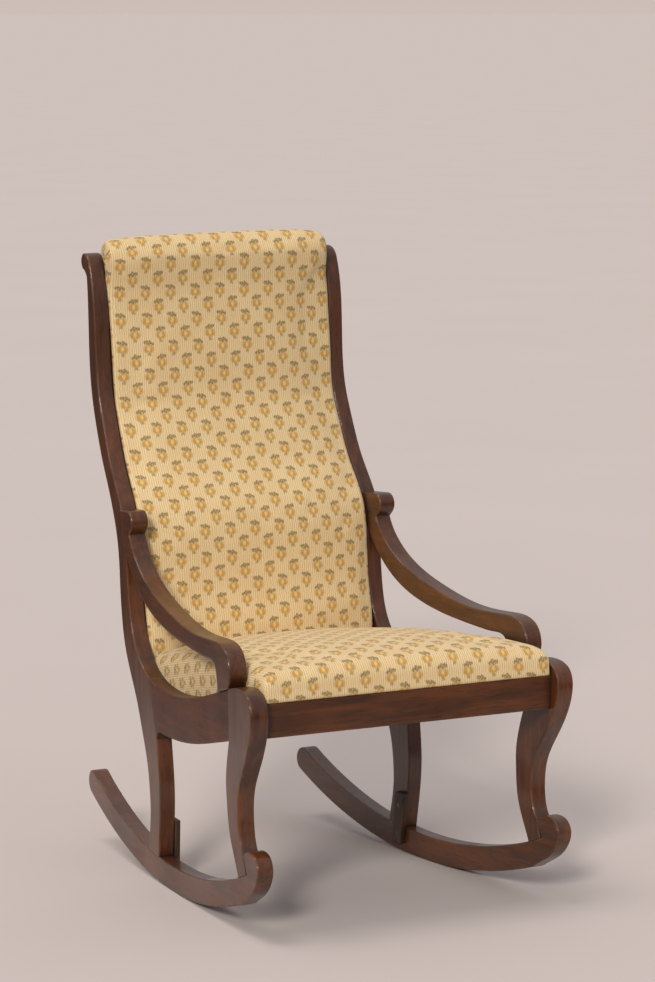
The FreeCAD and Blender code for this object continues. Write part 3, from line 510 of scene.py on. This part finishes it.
# %% Finishes of the frame
FINISHES = {
    "back_post": mahogany[UP], "front_leg": mahogany[UP], "side_rail": rail_mahogany_painted_shade,
    "rocker": mahogany[BACK], "arm": mahogany[BACK], "front_rail": mahogany[ACROSS],
    "rear_rail": mahogany[ACROSS], "cleat": cleat_wood, "crest_rail": beech[ACROSS],
    "lower_back_rail": beech[ACROSS], "_block": beech[BACK], "seat_frame_front": beech[ACROSS],
    "seat_frame_rear": beech[ACROSS], "seat_frame_left": beech[BACK],
    "seat_frame_right": beech[BACK], "seat_webbing": jute["seat"], "back_webbing": jute["back"],
    "seat_burlap": burlap["seat"], "back_lining": burlap["back"],
    "seat_dust_cloth": dust_cotton, "back_cover": panel_cloth, "dowels": dowel_birch,
    "screws": steel, "tacks": steel}

finished = 0
for name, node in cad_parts.items():
    finish = next((FINISHES[key] for key in FINISHES if name.endswith(key)), None)
    if finish is None:
        continue
    if not node.material_slots:
        node.data.materials.append(finish)
    for held in node.material_slots:
        held.material = finish
    finished += 1
print("finished", finished, "of", len(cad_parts), "frame pieces")

# %% [markdown]
# ## Stuffed covers
# Both covers are made as an upholsterer makes them: cloth drawn over stuffing and nailed down at
# its edges. They could be sculpted by hand, but here an even grid of faces is laid in the form of
# the stuffing, its edges are pinned where the nails are, and a short cloth simulation with
# pressure from inside rounds it. Every point carries its place on the flat cloth as UV, in metres,
# so that the print follows the form. Three helpers divide curves and build the grids.

# %% Curves and grids
CURVE_STEPS = 40          # points from one row of a curve to the next, before it is divided
WELD = 1e-5               # metres


def smooth_rows(rows, count):
    """Passes a smooth curve through rows of numbers and divides it evenly. The first two numbers
    of a row are the point that the division is measured on."""
    rows = np.asarray(rows, float)
    ends = np.vstack([2 * rows[0] - rows[1], rows, 2 * rows[-1] - rows[-2]])
    steps = np.linspace(0, 1, CURVE_STEPS, endpoint=False)[:, None]
    pieces = []
    for before, first, second, after in zip(ends, ends[1:], ends[2:], ends[3:]):
        pieces.append(0.5 * (2 * first + (second - before) * steps
                             + (2 * before - 5 * first + 4 * second - after) * steps ** 2
                             + (3 * first - before - 3 * second + after) * steps ** 3))
    dense = np.vstack(pieces + [rows[-1:]])
    run = np.concatenate([[0], np.cumsum(np.hypot(*np.diff(dense[:, :2], axis=0).T))])
    even = np.linspace(0, run[-1], count)
    return np.stack([np.interp(even, run, column) for column in dense.T], 1), even


def travelled(points, axis):
    """How far it is through a grid of points, along one of its axes, to each of them."""
    step = np.linalg.norm(np.diff(points, axis=axis), axis=-1)
    start = np.zeros_like(np.take(step, [0], axis))
    return np.cumsum(np.concatenate([start, step], axis), axis)


def add_patch(mesh, points, flat):
    """Adds a grid of faces, with its place on the cloth, and returns its corner points."""
    layer = mesh.loops.layers.uv.verify()
    rows, columns = points.shape[:2]
    corners = [[mesh.verts.new(points[row, column]) for column in range(columns)]
               for row in range(rows)]
    for row in range(rows - 1):
        for column in range(columns - 1):
            keys = ((row, column), (row, column + 1), (row + 1, column + 1), (row + 1, column))
            face = mesh.faces.new([corners[a][b] for a, b in keys])
            face.smooth = True
            for loop, key in zip(face.loops, keys):
                loop[layer].uv = flat[key]
    return corners


def finish_mesh(mesh, name):
    """Welds the patches, turns the faces outwards and gives the piece its cloth."""
    bmesh.ops.remove_doubles(mesh, verts=mesh.verts, dist=WELD)
    bmesh.ops.recalc_face_normals(mesh, faces=mesh.faces)
    data = bpy.data.meshes.new(name)
    mesh.to_mesh(data)
    mesh.free()
    piece = bpy.data.objects.new(name, data)
    bpy.context.scene.collection.objects.link(piece)
    data.materials.append(cover_cloth)
    print(name, "is laid out in", len(data.polygons), "faces")
    return piece


# %% [markdown]
# Blender's Cloth modifier alone would let a cover billow, and draw it in beside the swelling. So
# only the outward part of each point's move is kept, because full stuffing gives way nowhere, and
# no point moves further than a cap. One round of subdivision then smooths what the grid left.

# %% Stuffing
SIMULATED_FRAMES = 20
CLOTH_QUALITY = 6         # steps in each frame
STRETCH, SHEAR, BENDING = 30, 10, 1.0     # how stiff the cotton is


def stuff(piece, pinned, cap, pressure=4.0):
    """Blows the cover up from inside, with its pinned points held. No point moves more than cap
    metres, and none sinks into the stuffing."""
    rest = np.array([vertex.co for vertex in piece.data.vertices])
    group = piece.vertex_groups.new(name="nails")
    group.add([int(index) for index in np.flatnonzero(pinned)], 1.0, "REPLACE")
    cloth = piece.modifiers.new("Cloth", "CLOTH")
    cloth.settings.use_pressure = True
    cloth.settings.uniform_pressure_force = pressure
    cloth.settings.vertex_group_mass = group.name
    cloth.settings.effector_weights.gravity = 0
    cloth.settings.quality = CLOTH_QUALITY
    cloth.settings.tension_stiffness = STRETCH
    cloth.settings.compression_stiffness = STRETCH
    cloth.settings.shear_stiffness = SHEAR
    cloth.settings.bending_stiffness = BENDING
    cloth.point_cache.frame_end = SIMULATED_FRAMES
    for step in range(1, SIMULATED_FRAMES + 1):
        bpy.context.scene.frame_set(step)
    view = piece.evaluated_get(bpy.context.evaluated_depsgraph_get())
    blown = np.array([vertex.co for vertex in view.data.vertices])
    piece.modifiers.remove(cloth)
    piece.vertex_groups.clear()
    bpy.context.scene.frame_set(1)
    move = blown - rest
    outward = np.array([vertex.normal for vertex in piece.data.vertices])
    move -= outward * np.minimum(0, (move * outward).sum(1, keepdims=True))
    length = np.linalg.norm(move, axis=1, keepdims=True)
    move *= np.minimum(1, cap / np.maximum(length, 1e-9))
    piece.data.vertices.foreach_set("co", (rest + move).ravel())
    piece.data.update()
    print(piece.name, "would move", round(1000 * float(length.max()), 1), "mm under pressure and",
          "is held to", 1000 * cap)


def refine(piece):
    """One round of subdivision, applied."""
    deselect_all()
    piece.select_set(True)
    bpy.context.view_layer.objects.active = piece
    smoother = piece.modifiers.new("Subdivision", "SUBSURF")
    smoother.levels = smoother.render_levels = 1
    bpy.ops.object.modifier_apply(modifier=smoother.name)
    print(piece.name, "has", len(piece.data.polygons), "faces")


# %% [markdown]
# ### The slip seat
# The seat is a stuffed frame dropped between the sides. It falls 5 degrees to the rear, its front
# stands a little over the front rail, it is crowned by about 14 mm, and its edges roll over the
# rails. Sizes are easiest in the slip frame's own tipped figures: across, back along it, and up
# from its underside. A box of even faces is rounded by drawing its edges toward an inner box,
# which keeps the grid even, and then crowned. The walls run on down as skirts over the frame's
# sides, so that no seam shows between an arm and the seat.

# %% The form of the seat
# All in mm
SEAT_TIP = math.radians(5.0)
SEAT_BACK, SEAT_UP = 9.6, 346.5   # the slip frame's lower front edge, in the maker's figures
SEAT_NOSE, SEAT_TAIL = -30.0, 466.0   # front and rear of the cushion, behind that edge
SEAT_CLEAR = 1.2          # between the cushion and a side board
SEAT_TALL = 44.0          # the box before it is crowned
SEAT_ROUND = 22.0         # radius of the rolled edge
SEAT_SQUARE = 8.0         # and of the rear edge
SEAT_CORNER = 6.0         # how square its corners are in plan, 2 being round
BURLAP_UP = 26.4          # the height where the stuffing lies on its burlap
# Distance from the nose, height of the border and height of the middle
SEAT_CROWN = np.array([(0, 69, 76), (30, 73, 83), (120, 79, 93), (292, 77, 91), (430, 70, 83),
                       (478, 64, 76)], float)
CROWN_POWER = 2.4         # how flat the crown is in the middle, 2 being a parabola
SKIRT_FOOT = 0.2          # the skirts end this far above the slip frame's underside
SKIRT_BLEND = 12.0        # the height over which the walls stretch down to it
SKIRT_FRONT, SKIRT_REAR = 3, 20       # skirts start and end this far inside the frame's length


def seat_point(across, back, up):
    """From the slip seat's own tipped figures to the maker's."""
    return np.stack([across, SEAT_BACK + back * math.cos(SEAT_TIP) + up * math.sin(SEAT_TIP),
                     SEAT_UP - back * math.sin(SEAT_TIP) + up * math.cos(SEAT_TIP)], -1)


def rolled(across, back, up, half):
    """Draws the edges of the seat's box toward an inner box, by which they come out round."""
    core_across = np.clip(across, -half + SEAT_ROUND, half - SEAT_ROUND)
    core_back = np.clip(back, SEAT_NOSE + SEAT_ROUND, SEAT_TAIL - SEAT_SQUARE)
    core_up = np.minimum(up, SEAT_TALL - SEAT_ROUND)
    away = np.stack([across - core_across, back - core_back, up - core_up], -1)
    plan = (np.abs(away[..., :2]) ** SEAT_CORNER).sum(-1, keepdims=True) ** (1 / SEAT_CORNER)
    reach = np.hypot(plan, away[..., 2:])
    largest = np.abs(away).max(-1, keepdims=True)
    away = away * np.where(reach > 0, largest / np.maximum(reach, 1e-9), 0)
    return core_across + away[..., 0], core_back + away[..., 1], core_up + away[..., 2]


def seat_form(side, back, level, skirt=False):
    """side runs from -1 to 1, back is a distance, and level runs from 0, the foot, to 1, the top.
    With skirt, what stands low reaches down over the frame's sides."""
    side, back, level = np.broadcast_arrays(side, back, level)
    border, middle = (np.interp(back - SEAT_NOSE, SEAT_CROWN[:, 0], SEAT_CROWN[:, column])
                      for column in (1, 2))
    half = inner_half(SEAT_BACK + back, RAIL_TOP) - SEAT_CLEAR
    on_rail = (RAIL_TOP - SEAT_UP + back * math.sin(SEAT_TIP)) / math.cos(SEAT_TIP)
    foot = np.where(back < 0, on_rail, BURLAP_UP)
    across, back, up = rolled(side * half, back, level * SEAT_TALL, half)
    top = border + (middle - border) * (1 - np.abs(side) ** CROWN_POWER)
    up = foot + up * (top - foot) / SEAT_TALL
    if skirt:
        reach = np.clip((foot + SKIRT_BLEND - up) / SKIRT_BLEND, 0, 1)
        covers = (back > SKIRT_FRONT) & (back < SEAT_TAIL - SKIRT_REAR)
        up = up - np.where(covers, reach * (foot - SKIRT_FOOT), 0)
    return seat_point(across, back, up)


print("the middle of the seat is", round(float(seat_form(0, 120 + SEAT_NOSE, 1)[2])),
      "mm above the floor at its highest")

# %% [markdown]
# The cover is six patches of that form: the top, front, rear, two walls with their skirts, and the
# bottom on its burlap, with a narrow flap under each skirt. All are welded where they meet, so it
# is one closed skin. What lies on the burlap is nailed, and so is the foot of the walls.

# %% The seat cover
SEAT_CELL = 6.0           # mm, the grid's spacing
SEAT_LAYERS = 8           # faces up a wall
SEAT_MIDDLE = 200         # halfway back
SKIRT_THICK = 2.2         # cover and wadding down the sides of the slip frame
NAILED_LOW = 2.0          # nailed this far above the burlap
NAILED_WALL, NAILED_IN = 30.0, 4.0    # and on the walls, this high and this far in
SEAT_CAP = 0.005          # metres that a point may move


def seat_cover():
    """The stuffed seat, from its nailed foot to its crown."""
    columns = 2 * round(inner_half(0, RAIL_TOP) / SEAT_CELL)
    rows = round((SEAT_TAIL - SEAT_NOSE) / SEAT_CELL)
    inner = 1 - SKIRT_THICK / (inner_half(SEAT_MIDDLE, RAIL_TOP) - SEAT_CLEAR)
    side = np.concatenate([[-1], np.linspace(-inner, inner, columns + 1), [1]])
    middle = len(side) // 2
    back = np.linspace(SEAT_NOSE, SEAT_TAIL, rows + 1)
    level = np.linspace(1, 0, SEAT_LAYERS + 1)
    across, backs = np.meshgrid(side, back, indexing="ij")
    top = seat_form(across, backs, 1.0)
    u = travelled(top, 0)
    u = u - u[middle]
    v = travelled(top, 1)
    v = v - v[:, :1]
    mesh = bmesh.new()

    def patch(points, flat_across, flat_up):
        """Adds a patch whose form and place on the cloth are in the maker's figures."""
        add_patch(mesh, placed(points), np.stack([flat_across, flat_up], -1) / 1000)

    patch(top, u, v)
    # Front and rear
    sides, levels = np.meshgrid(side, level, indexing="ij")
    for end, row, sign in ((SEAT_NOSE, 0, -1), (SEAT_TAIL, rows, 1)):
        face = seat_form(sides, end, levels)
        wide = travelled(face, 0)
        patch(face, wide - wide[middle], v[:, row:row + 1] + sign * travelled(face, 1))
    # The walls with their skirts
    lengths, levels = np.meshgrid(back, level, indexing="ij")
    for way, column in ((-1, 0), (1, len(side) - 1)):
        face = seat_form(way, lengths, levels, skirt=True)
        patch(face, u[column][:, None] + way * travelled(face, 1),
              np.repeat(v[column][:, None], SEAT_LAYERS + 1, 1))
    # The bottom, and the flaps from it round the skirts' feet
    patch(seat_form(across[1:-1], backs[1:-1], 0.0), u[1:-1], v[1:-1])
    for outer, near in ((0, 1), (len(side) - 1, len(side) - 2)):
        flap = [seat_form(across[outer], back, 0.0, skirt=True),
                seat_form(across[near], back, 0.0, skirt=True),
                seat_form(across[near], back, 0.0)]
        patch(np.stack(flap, 1), *(np.stack([part[outer], part[near], part[near]], 1)
                                   for part in (u, v)))
    piece = finish_mesh(mesh, "seat_cover")
    # What is nailed: all that lies low in the slip frame's figures, and the foot of the walls
    local = np.array([vertex.co for vertex in piece.data.vertices]) * 1000
    local += [0, ZERO_BACK, ZERO_UP]
    up = ((local[:, 2] - SEAT_UP) * math.cos(SEAT_TIP)
          + (local[:, 1] - SEAT_BACK) * math.sin(SEAT_TIP))
    wall = np.abs(local[:, 0]) > inner_half(local[:, 1], RAIL_TOP) - NAILED_IN
    nailed = (up < BURLAP_UP + NAILED_LOW) | (wall & (up < BURLAP_UP + NAILED_WALL))
    stuff(piece, nailed, SEAT_CAP)
    refine(piece)
    return piece


seat = seat_cover()
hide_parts("seat_cushion")
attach(seat, "root")

# %% [markdown]
# ### The back and its roll
# One length of cloth runs from behind the seat up the front of the back, bends in under the roll,
# goes round it and down behind to the crest rail. Seen from the side that is one curve. Three
# such guide curves are enough: one down the middle, one at the rounded edge and one at the nails
# on the side.

# %% The back's guide curves
# Back and up of the posts' front line, in the maker's figures, as all that follows
POST_LINE = [(500, 330), (503, 375), (508, 415), (517, 455), (523, 505), (528, 555), (540, 596),
             (563, 632), (590, 670), (619, 727), (641, 780), (650, 858), (659, 930)]
CROWN_DEEP = 23.0         # the middle stands this far before that line
EDGE_DEEP = 7.0           # and the side edge this far
NAILS_DEEP = -4.0         # the nails lie behind it
FOOT_UP, FOOT_FULL = 330, 0.7         # down there the pad has this share of its depth
FOOT_SLOPE = 150          # and it would gain one whole depth in this height
PAD_SQUARE = 2.6          # how flat the back is from side to side, 2 being a parabola
UNDER_ROLL = (640, 652.5, 668)        # middle, edge and nails where the back bends in
UNDER_ROLL_UP, UNDER_ROLL_SQUARE = 966, 3.5
ROLL_BACK, ROLL_UP = 674.0, 1012.0    # the roll's axis
ROLL_RADII = (37.0, 31.0, 1.5)        # of its middle, its edge and its closed ends
ROLL_SQUARE = 5.0
ROLL_START, ROLL_END = -12.0, 228.0   # where the cloth meets and leaves the roll, degrees
ROLL_ROWS = 11


def back_stations():
    """Rows of middle back and up, edge back and up, nails back and up, and squareness."""
    squeeze = math.cos(TAPER)     # the line is drawn on a side, which stands at this angle
    rows = []
    for back, up in POST_LINE:
        full = min(1.0, FOOT_FULL + (up - FOOT_UP) / FOOT_SLOPE)
        rows.append(((back - CROWN_DEEP * full) * squeeze, up, (back - EDGE_DEEP * full) * squeeze,
                     up, (back - NAILS_DEEP) * squeeze, up, PAD_SQUARE))
    middle, edge, nails = ((back * squeeze, UNDER_ROLL_UP) for back in UNDER_ROLL)
    rows.append((*middle, *edge, *nails, UNDER_ROLL_SQUARE))
    for turn in np.linspace(ROLL_START, ROLL_END, ROLL_ROWS):
        away = np.array([-math.cos(math.radians(turn)), math.sin(math.radians(turn))])
        middle, edge, nails = (np.array([ROLL_BACK * squeeze, ROLL_UP]) + away * radius
                               for radius in ROLL_RADII)
        rows.append((*middle, *edge, *nails, ROLL_SQUARE))
    return rows


stations = back_stations()
print("the back's guides pass", len(stations), "stations")

# %% [markdown]
# Cross sections between the three guides make the form. Each runs from the middle over the crown
# to the rounded edge, and tucks in from there to the nails. The roll of so old a chair isn't even:
# it is pushed in a little at one end, and stands higher on that side.

# %% Cross sections
BACK_WIDE = 430           # mm across the cloth, to count the grid's columns
BACK_CELL = 6.0           # mm, the grid's spacing
BACK_CLEAR = 0.4          # between the cover's widest line and a side board
EDGE_IN = 3.5             # from there to where the edge begins to turn
SECTION_STEPS = 30        # points of a section's arc and of its tuck, before they are divided
TUCK_OUT, TUCK_IN = 0.9, 0.1          # how the tuck's bend is shared by side board and nails
HALF_WIDE = 200           # what the unevenness is measured on, across
ROLL_INSET, INSET_FROM, INSET_OVER = 9.0, 930, 90     # pushed in, from this height, over this
ROLL_LIFT, ROLL_TILT, LIFT_FROM, LIFT_OVER = 5.0, 2.5, 985, 55    # and lifted


def smooth_step(share):
    """Rises from 0 to 1 without a corner."""
    share = np.clip(share, 0, 1)
    return share * share * (3 - 2 * share)


def section(middle_back, middle_up, edge_back, edge_up, nail_back, nail_up, square, columns):
    """One cross section of the back, evenly divided, from the left nails to the right."""
    half = inner_half(edge_back, edge_up) - BACK_CLEAR
    share = np.linspace(0, 1, SECTION_STEPS)[:, None]
    crown = 1 - share ** square
    arc = np.hstack([(half - EDGE_IN) * share, edge_back + (middle_back - edge_back) * crown,
                     edge_up + (middle_up - edge_up) * crown])
    nail = np.array([half, nail_back, nail_up])
    corner = np.array([half, edge_back, edge_up]) * TUCK_OUT + TUCK_IN * nail
    tuck = (1 - share) ** 2 * arc[-1] + 2 * share * (1 - share) * corner + share ** 2 * nail
    path = np.vstack([arc, tuck[1:]])
    run = np.concatenate([[0], np.cumsum(np.linalg.norm(np.diff(path, axis=0), axis=1))])
    even = np.linspace(0, run[-1], columns // 2 + 1)
    right = np.stack([np.interp(even, run, part) for part in path.T], 1)
    # The left half is the right one mirrored, without its first point, which both share
    return np.vstack([right[:0:-1] * [-1, 1, 1], right])


def uneven_roll(form):
    """Pushes the roll in at its right end and lifts it there."""
    across, up = form[..., 0] / HALF_WIDE, form[..., 2]
    inset = ROLL_INSET * smooth_step((up - INSET_FROM) / INSET_OVER)
    form[..., 0] -= inset * np.clip(across, 0, 1) ** 2
    form[..., 2] += (ROLL_LIFT + ROLL_TILT * across) * smooth_step((up - LIFT_FROM) / LIFT_OVER)


print("a section is", len(section(*stations[0], 10)), "points wide at ten columns")

# %% [markdown]
# The sections become one grid, closed behind and at both ends by plain faces that the frame
# hides. Its four edges are nailed. The pressure is lower than in the seat, because a tall pad
# billows more, and the back is stuffed thinly.

# %% The back cover
BACK_CAP = 0.004          # metres that a point may move
BACK_PRESSURE = 2.5


def back_cover():
    """The padded back and the roll over it, in one skin."""
    # One curve up the middle says how many rows the grid has
    length = np.hypot(*np.diff(np.array(stations)[:, :2], axis=0).T).sum()
    guides, v = smooth_rows(stations, round(length / BACK_CELL))
    columns = 2 * round(BACK_WIDE / BACK_CELL / 2)
    form = np.array([section(*guide, columns) for guide in guides])
    uneven_roll(form)
    u = travelled(form, 1)
    u = u - u[:, columns // 2:columns // 2 + 1]
    mesh = bmesh.new()
    flat = np.stack([u, np.repeat(v[:, None], columns + 1, 1)], -1) / 1000
    corners = add_patch(mesh, placed(form), flat)
    # Plain faces close it behind and at both ends
    for below, above in zip(corners, corners[1:]):
        mesh.faces.new([below[-1], below[0], above[0], above[-1]])
    mesh.faces.new(corners[0][::-1])
    mesh.faces.new(corners[-1])
    # All four edges of the grid are nailed
    nailed = np.zeros(form.shape[:2], bool)
    nailed[[0, -1]] = True
    nailed[:, [0, -1]] = True
    piece = finish_mesh(mesh, "back_cover_and_roll")
    stuff(piece, nailed.ravel(), BACK_CAP, pressure=BACK_PRESSURE)
    refine(piece)
    return piece


back = back_cover()
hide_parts("back_cushion", "crest_roll")
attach(back, "root")

# %% [markdown]
# ## The studio
# A wide sheet of grey-pink paper makes the floor and most of the background. A curved backdrop
# would serve one camera only, while a flat sheet looks right from every side. It is pale where
# the chair stands and where the camera sees it. To the light and the polish it darkens further
# out, as a sheet in a dim room would, so that the wood keeps its depth.

# %% Floor
PAPER, PAPER_MOTTLE, ROOM_DARK = "CAC0BE", "CCC2C0", "4A423F"
PAPER_RADIUS = 500        # metres
PAPER_CORNERS = 128
PAPER_NEAR, PAPER_FAR = 1.1, 2.4      # metres over which the light and polish lose the paper
MOTTLE = 1.3              # waves a metre


def studio_paper():
    """Paper that only the camera sees as pale all the way out."""
    material, tree, output = new_material("studio_paper")
    place = add(tree, "TexCoord").outputs["Object"]
    mottle = noise(tree, place, MOTTLE, 4.0)
    colour = blend_colours(tree, spread(tree, mottle, 0.3, 0.7), srgb(PAPER), srgb(PAPER_MOTTLE))
    away = add(tree, "VectorMath", {"operation": "LENGTH"}, in_0=place).outputs["Value"]
    unseen = calculate(tree, "SUBTRACT", 1.0,
                       add(tree, "LightPath").outputs["Is Camera Ray"])
    dim = calculate(tree, "MULTIPLY", spread(tree, away, PAPER_NEAR, PAPER_FAR), unseen)
    colour = blend_colours(tree, dim, colour, srgb(ROOM_DARK))
    return finish_material(material, tree, output, Base_Color=colour, Roughness=0.9,
                           Specular_IOR_Level=0.1)


deselect_all()
bpy.ops.mesh.primitive_circle_add(vertices=PAPER_CORNERS, radius=PAPER_RADIUS,
                                  fill_type="NGON")
floor = bpy.context.object
floor.name = "paper_floor"
floor.data.materials.append(studio_paper())
floor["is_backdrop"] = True

# %% [markdown]
# The room itself is a world that glows evenly, less near the floor and more overhead, and the
# polish mirrors that. The camera sees a plain sheet of the paper's colour in its place.

# %% The room
GLOW_LOW, GLOW_HIGH = 0.39, 0.71      # the room's strength at the horizon and overhead
GLOW_TOP = 0.7            # how far up it is full, on a globe with a radius of 1
ROOM, BACKGROUND = "DEDCDD", "CDBEB8"

world = bpy.data.worlds.new("studio_glow")
bpy.context.scene.world = world
world.use_nodes = True
tree = world.node_tree
tree.nodes.clear()
height = add(tree, "SeparateXYZ", Vector=add(tree, "TexCoord").outputs["Generated"]).outputs[2]
glow = spread(tree, height, 0.0, GLOW_TOP, GLOW_LOW, GLOW_HIGH)
seen = add(tree, "LightPath").outputs["Is Camera Ray"]
room = add(tree, "Background", Color=srgb(ROOM), Strength=glow)
sheet = add(tree, "Background", Color=srgb(BACKGROUND), Strength=1.0)
shown = add(tree, "MixShader", in_0=seen, in_1=room.outputs[0], in_2=sheet.outputs[0])
tree.links.new(shown.outputs[0], add(tree, "OutputWorld").inputs[0])
print("the room glows from", GLOW_LOW, "to", GLOW_HIGH)

# %% [markdown]
# Two lights shape the chair: a broad one almost overhead, which lays the soft shadow underneath,
# and a stronger and narrower one from the front left, which models the cloth and puts a glint on
# the knuckles and arms. Suns were chosen, because they light every part of so tall a chair alike.

# %% Lights
LAMP = "FFF7EC"           # slightly warm


def soft_sun(name, direction, strength, width):
    """A far light that shines from a direction, given as a point, and so many degrees wide."""
    deselect_all()
    bpy.ops.object.light_add(type="SUN")
    sun = bpy.context.object
    sun.name = name
    sun.rotation_euler = Vector(direction).to_track_quat("Z", "Y").to_euler()
    sun.data.energy = strength
    sun.data.angle = math.radians(width)
    sun.data.color = srgb(LAMP)[:3]
    print(name, "shines with strength", strength)


soft_sun("overhead", (-0.25, 0.12, 0.96), 0.85, 26)
soft_sun("front_left", (-0.62, -0.7, 0.49), 2.1, 13)

# %% [markdown]
# ## Last
# The two boxes, of the bare chair and of the dressed one, are compared, and how far each corner
# moved is printed in mm. Covers may stand out of the frame's box by a few millimetres only.

# %% Sizes and the end
dressed_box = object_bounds()
for word, corner, bare in zip(("low", "high"), dressed_box, cad_box):
    print(word, "corner moved by", [round(1000 * step, 1) for step in corner - bare], "mm")
